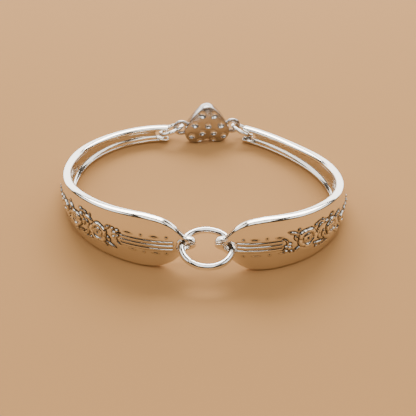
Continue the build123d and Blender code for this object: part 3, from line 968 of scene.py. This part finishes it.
# %% Pits in its front
pit_radius, pit_depth = 0.95, 0.5
PITS = [
    # across as a share of the half width, up as a share of the height
    (-0.23, 0.75), (0.27, 0.73),
    (-0.55, 0.51), (0.03, 0.49), (0.60, 0.48),
    (-0.70, 0.22), (-0.23, 0.31), (0.27, 0.30), (0.73, 0.20),
    (-0.33, 0.09), (0.27, 0.09),
]


def pit_cups(x, z):
    """How deep each point lies in the pit nearest to it, from 0 to 1: 1 - (distance / radius)^2."""
    cup = np.zeros_like(x)
    for across, up in PITS:
        away = np.hypot(x - across * heart_width / 2, z - up * heart_height)
        cup = np.maximum(cup, np.clip(1 - (away / pit_radius) ** 2, 0, 1))
    return cup


print(len(PITS), "pits")

# %% The heart's skin
heart_depth = 3.3
dome, dome_power, dome_levels = 0.65, 2.6, 64
edge, edge_levels = 0.3, 8


def heart_profile():
    """For each row from the middle of the front to the middle of the back: its share of the way
    out, how far it stays inside the outline, and its level over the straight wall. The front is
    a dome, level = edge + dome * (1 - reach^power), and both edges are quarter circles."""
    grow = np.linspace(0, 1, dome_levels + 1)[1:]
    quarter = np.linspace(0, pi / 2, edge_levels + 1)[1:]
    wall = heart_depth - dome - 2 * edge
    plain = dome_levels - 1
    reach = np.concatenate([grow, np.ones(2 * edge_levels), grow[:-1][::-1]])
    inset = np.concatenate([
        np.full(dome_levels, edge), edge * (1 - np.sin(quarter)), edge * (1 - np.cos(quarter)),
        np.full(plain, edge)])
    level = np.concatenate([
        dome * (1 - grow**dome_power) + edge, edge * np.cos(quarter), -wall - edge * np.sin(quarter),
        np.full(plain, -wall - edge)])
    return reach, inset, level


def heart_skin():
    """Front, edge and back of a puffy heart: the outline shrunk to each row's reach and inset,
    at the row's level, with the pits pressed in as shallow cups."""
    reach, inset, level = heart_profile()
    outline = np.stack([radii * np.sin(angles), -radii * np.cos(angles)])
    shrink = reach[:, None] * (1 - inset[:, None] / radii[None, :])
    x = shrink * outline[0]
    z = heart_centre + shrink * outline[1]
    cup = np.where(level[:, None] > 0, pit_cups(x, z), 0)
    y = (edge + dome) - heart_depth / 2 - np.repeat(level[:, None], len(angles), axis=1)
    y = y + pit_depth * cup
    rows, columns = x.shape
    points = np.stack([x, y, z], axis=-1).reshape(-1, 3)
    number = np.arange(rows * columns).reshape(rows, columns)
    front, rear = rows * columns, rows * columns + 1
    ends = np.array([[0, y[0].mean(), heart_centre], [0, y[-1].mean(), heart_centre]])
    caps = [np.full((1, columns), front), number, np.full((1, columns), rear)]
    faces = grid_faces(np.vstack(caps), close_columns=True)
    return np.concatenate([points, ends]), faces, np.concatenate([cup.ravel(), [0, 0]])


# The third value is the pits' depth, which later paints a highlight into the pits.
points, faces, dark = heart_skin()
print("heart", round(float(np.ptp(points[:, 0])), 2), "by", round(float(np.ptp(points[:, 2])), 2), "mm")

# %% Its two eyes, and the whole clasp in its place
eye_rows, eye_columns = 96, 28


def eye_skin(side):
    """A torus standing in the heart's own plane."""
    turn = np.linspace(0, 2 * pi, eye_rows, endpoint=False)[:, None]
    angle = np.linspace(0, 2 * pi, eye_columns, endpoint=False)[None, :]
    reach = eye_radius + eye_wire / 2 * np.cos(angle)
    x = side * eye_reach + reach * np.cos(turn)
    z = eye_height + reach * np.sin(turn)
    y = eye_wire / 2 * np.sin(angle) + 0 * turn
    points = np.stack([x, y, z], axis=-1).reshape(-1, 3)
    index = np.arange(len(points)).reshape(eye_rows, eye_columns)
    return points, grid_faces(index, close_rows=True, close_columns=True)


def turned(angle, first, second):
    """The matrix that turns one axis towards another by an angle in radians."""
    matrix = np.eye(3)
    matrix[first, first] = matrix[second, second] = cos(angle)
    matrix[second, first], matrix[first, second] = sin(angle), -sin(angle)
    return matrix


for side in (-1, 1):
    eye_points, eye_faces = eye_skin(side)
    faces = np.concatenate([faces, eye_faces + len(points)])
    points = np.concatenate([points, eye_points])
    dark = np.concatenate([dark, np.zeros(len(eye_points))])
leaned = points @ turned(lean_angle, 2, 0).T @ turned(radians(heart_turn), 0, 1).T
points = leaned + heart_middle + np.array([0, 0, heart_lift]) + to_frame
# On the heart this attribute carries the pits' depth, for the painted highlight in the pits.
heart = make_piece("heart_clasp_skin", points, faces, {"tarnish_and_pit_highlight": dark})
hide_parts("heart_clasp")

# %% [markdown]
# ## Finishes
# Polished metal is mostly what it reflects, so the finish is about the small things that break
# a perfect mirror: fine scratches along the strip, smudges that make it duller in patches, and
# black-brown tarnish that sits in the relief's grooves and is rubbed away on high places. All of
# it could be painted on images, but noises and attributes stay sharp in a close view.

# %% Shader maths as expressions


class Wire:
    """A socket of a node, with the operators that its maths needs."""

    def __init__(self, tree, socket):
        self.tree, self.socket = tree, socket

    def math(self, operation, *others, clamp=False):
        """A Math node on this value and the others."""
        node = self.tree.nodes.new("ShaderNodeMath")
        node.operation, node.use_clamp = operation, clamp
        for slot, value in zip(node.inputs, (self, *others)):
            if isinstance(value, Wire):
                self.tree.links.new(value.socket, slot)
            else:
                slot.default_value = value
        return Wire(self.tree, node.outputs[0])

    def __add__(self, other):
        return self.math("ADD", other)

    def __mul__(self, other):
        return self.math("MULTIPLY", other)

    def __sub__(self, other):
        return self.math("SUBTRACT", other)

    def __rsub__(self, other):
        return self.math("MULTIPLY", -1.0).math("ADD", other)

    def __pow__(self, other):
        return self.math("POWER", other)

    __radd__ = __add__
    __rmul__ = __mul__

    def clamp(self):
        """The value kept between 0 and 1."""
        return self.math("ADD", 0.0, clamp=True)


print("sums, differences, products and powers of sockets")

# %% A finish and its nodes


class Finish:
    """A material and one way to add any node to it."""

    def __init__(self, name):
        self.material = bpy.data.materials.new(name)
        self.material.use_nodes = True
        self.tree = self.material.node_tree
        self.tree.nodes.clear()
        self.skin = self.tree.nodes.new("ShaderNodeBsdfPrincipled")
        output = self.tree.nodes.new("ShaderNodeOutputMaterial")
        self.tree.links.new(self.skin.outputs[0], output.inputs[0])

    def node(self, kind, settings=None, output=0, **values):
        """A node of a kind; settings are set first, then its sockets get values or links."""
        node = self.tree.nodes.new("ShaderNode" + kind)
        for key, value in (settings or {}).items():
            setattr(node, key, value)
        for key, value in values.items():
            self.put(node.inputs[key.replace("_", " ")], value)
        return Wire(self.tree, node.outputs[output])

    def put(self, socket, value):
        """A value or a link into a socket."""
        if isinstance(value, Wire):
            self.tree.links.new(value.socket, socket)
        else:
            socket.default_value = value

    def mix(self, share, first, second):
        """A colour between two others."""
        node = self.tree.nodes.new("ShaderNodeMix")
        node.data_type = "RGBA"
        self.put(node.inputs["Factor"], share)
        self.put(node.inputs["A"], first)
        self.put(node.inputs["B"], second)
        return Wire(self.tree, node.outputs["Result"])

    def surface(self, **values):
        """Values or links of the metal's own sockets."""
        for key, value in values.items():
            self.put(self.skin.inputs[key.replace("_", " ")], value)

    def wear(self, *pieces):
        """Puts the finish on pieces."""
        for piece in pieces:
            piece.data.materials.clear()
            piece.data.materials.append(self.material)
            print(self.material.name, "on", piece.name)


# %% [markdown]
# ## Silver plate
# The handles are plated and buffed along their length. The scratches are a noise stretched that
# way on the UV map, and only tilt the light. Smudges change the roughness alone, since a clean
# and a fingered patch have the same colour. The tarnish comes from the relief's own darkness,
# broken up by fine specks, and is both darker and duller.

# %% Finish of the handles
# The warm tint of this light silver colour is a painted reflection of the warm table; the rest is the
# silver's own colour.
silver_light = (0.88, 0.84, 0.77, 1)
silver_dark = (0.035, 0.028, 0.022, 1)

plate = Finish("silver_plate")
along_across = plate.node("UVMap", {"uv_map": "UVMap"})
place = plate.node("TexCoord", output=3)
stretched = plate.node("Mapping", Vector=along_across, Scale=(0.15, 6.0, 1.0))
hairlines = plate.node("TexNoise", Vector=stretched, Scale=6.0, Detail=3.0, Roughness=0.6)
smudges = plate.node("TexNoise", Vector=place, Scale=160.0, Detail=4.0, Roughness=0.6)
specks = plate.node("TexNoise", Vector=place, Scale=1400.0, Detail=3.0, Roughness=0.6)
tarnish_and_pit_highlight = plate.node("Attribute", {"attribute_name": "tarnish_and_pit_highlight"}, output=2)
dirt = (tarnish_and_pit_highlight * 1.1 + (specks - 0.5) * 0.5 * tarnish_and_pit_highlight).clamp()
plate.surface(
    Base_Color=plate.mix(dirt, silver_light, silver_dark),
    Metallic=1.0,
    Roughness=(0.07 + 0.16 * smudges.clamp() ** 2 + 0.3 * dirt).clamp(),
    Normal=plate.node("Bump", Height=hairlines, Strength=1.0, Distance=0.000008),
)
plate.wear(*silver_pieces)

# %% [markdown]
# ## Wire and cast clasp
# Drawn wire is even all round, so it only gets fine marks. The clasp's raised places get a soft grey
# with a grain in it: partly the casting's own dull finish, partly painted shade where the face
# reflects the shadow in front of it. The pits catch the light, and that is painted in as a highlight:
# the depth of the pits, which rides along with the points, mixes the bright colour into the grey.

# %% Finish of the rings
wire_finish = Finish("ring_wire")
place = wire_finish.node("TexCoord", output=3)
draw_marks = wire_finish.node("TexNoise", Vector=place, Scale=900.0, Detail=3.0, Roughness=0.6)
wire_finish.surface(
    Base_Color=(0.85, 0.84, 0.82, 1),
    Metallic=1.0,
    Roughness=(0.08 + 0.12 * draw_marks).clamp(),
    Normal=wire_finish.node("Bump", Height=draw_marks, Strength=0.1, Distance=0.00002),
)
wire_finish.wear(*ring_pieces)

# %% Finish of the clasp
# The grey of the raised face is partly the dull cast finish and partly painted shade; the bright colour
# in the pits is a painted highlight.
dull_and_shaded_grey = (0.47, 0.44, 0.42, 1)
painted_pit_highlight = (0.90, 0.89, 0.87, 1)

cast = Finish("cast_clasp")
place = cast.node("TexCoord", output=3)
grain = cast.node("TexNoise", Vector=place, Scale=700.0, Detail=4.0, Roughness=0.6)
pit_highlight_share = cast.node("Attribute", {"attribute_name": "tarnish_and_pit_highlight"}, output=2)
cast.surface(
    # The pits' depth mixes the painted highlight into the grey.
    Base_Color=cast.mix((pit_highlight_share * 1.4).clamp(), dull_and_shaded_grey, painted_pit_highlight),
    Metallic=1.0,
    Roughness=(0.12 + 0.18 * grain).clamp(),
    Normal=cast.node("Bump", Height=grain, Strength=0.15, Distance=0.00003),
)
cast.wear(heart)

# %% [markdown]
# ## Floor and light
# The bracelet lies on a plain warm table. There are a low and a high window behind, two broad
# side windows and a weak ceiling. The room itself is dark and warm, because polished silver only
# looks like silver when it has something dark to reflect beside the bright.

# %% Floor
floor_reach, floor_back = 0.5, 0.35
floor_corners = [
    (-floor_reach, -floor_reach, 0), (floor_reach, -floor_reach, 0),
    (floor_reach, floor_back, 0), (-floor_reach, floor_back, 0)]
floor_mesh = bpy.data.meshes.new("floor")
floor_mesh.from_pydata(floor_corners, [], [(0, 1, 2, 3)])
floor = bpy.data.objects.new("floor", floor_mesh)
bpy.context.scene.collection.objects.link(floor)
ground = Finish("floor_matte")
ground.surface(Base_Color=(0.45, 0.235, 0.088, 1), Roughness=0.9, Specular_IOR_Level=0.1)
ground.wear(floor)

# %% Lights
daylight = (1.0, 0.99, 0.97)
light_distance = 0.9
light_aim = 0.006             # metres above the floor
LIGHTS = {
    # azimuth and elevation in degrees, width and height in metres, radiance in W/m2/sr
    "window_low": (0.0, 12.5, 1.6, 0.34, 4.5),
    "window_high": (0.0, 42.0, 0.8, 0.42, 14.0),
    "ceiling": (0.0, 110.0, 0.8, 1.0, 2.4),
    "side_left": (-80.0, 38.0, 1.0, 0.50, 2.2),
    "side_right": (80.0, 38.0, 1.0, 0.50, 2.2),
}


def soft_light(name, azimuth, elevation, width, height, radiance):
    """A flat light that faces the bracelet. Azimuth counts from straight behind towards +X. Its
    power is radiance * pi * width * height, so its brightness doesn't depend on its size."""
    lamp = bpy.data.lights.new(name, "AREA")
    lamp.shape, lamp.size, lamp.size_y, lamp.color = "RECTANGLE", width, height, daylight
    lamp.energy = radiance * pi * width * height
    stand = bpy.data.objects.new(name, lamp)
    a, e = radians(azimuth), radians(elevation)
    x, y, z = (light_distance * part for part in (sin(a) * cos(e), cos(a) * cos(e), sin(e)))
    stand.location = (x, y, z + light_aim)
    stand.rotation_euler = (e - pi / 2, 0, -a)
    bpy.context.scene.collection.objects.link(stand)
    print(name, round(lamp.energy, 2), "W")


for name, row in LIGHTS.items():
    soft_light(name, *row)

# %% The dark room
room_colour = (0.060, 0.045, 0.032, 1)
world = bpy.data.worlds.new("room")
bpy.context.scene.world = world
world.use_nodes = True
background = world.node_tree.nodes["Background"]
background.inputs["Color"].default_value = room_colour
background.inputs["Strength"].default_value = 1.0
print("room", room_colour[:3])

# %% [markdown]
# ## Camera
# It stands where the photo's perspective puts it, about 21 cm away and 34 degrees above the
# table. A closer one would make the front ring too large beside the heart.

# %% Camera
camera_target = np.array([1.22, -8.61, 3.0]) + to_frame    # what the picture's middle shows
camera_azimuth, camera_drop = radians(-0.51), radians(34.0)
camera_distance = 210.4
focal_pixels, photo_pixels = 928.28, 416      # focal length and width of the photo, in its pixels
sensor_width = 36.0
forward = np.array([
    sin(camera_azimuth) * cos(camera_drop), cos(camera_azimuth) * cos(camera_drop), -sin(camera_drop)])
lens = bpy.data.cameras.new("camera")
lens.sensor_width, lens.lens = sensor_width, focal_pixels * sensor_width / photo_pixels
lens.clip_start, lens.clip_end = 0.01, 10
camera = bpy.data.objects.new("camera", lens)
camera.location = (camera_target - camera_distance * forward) * MM
camera.rotation_euler = (pi / 2 - camera_drop, 0, -camera_azimuth)
bpy.context.scene.collection.objects.link(camera)
bpy.context.scene.camera = camera
print("camera at", [round(v, 4) for v in camera.location])
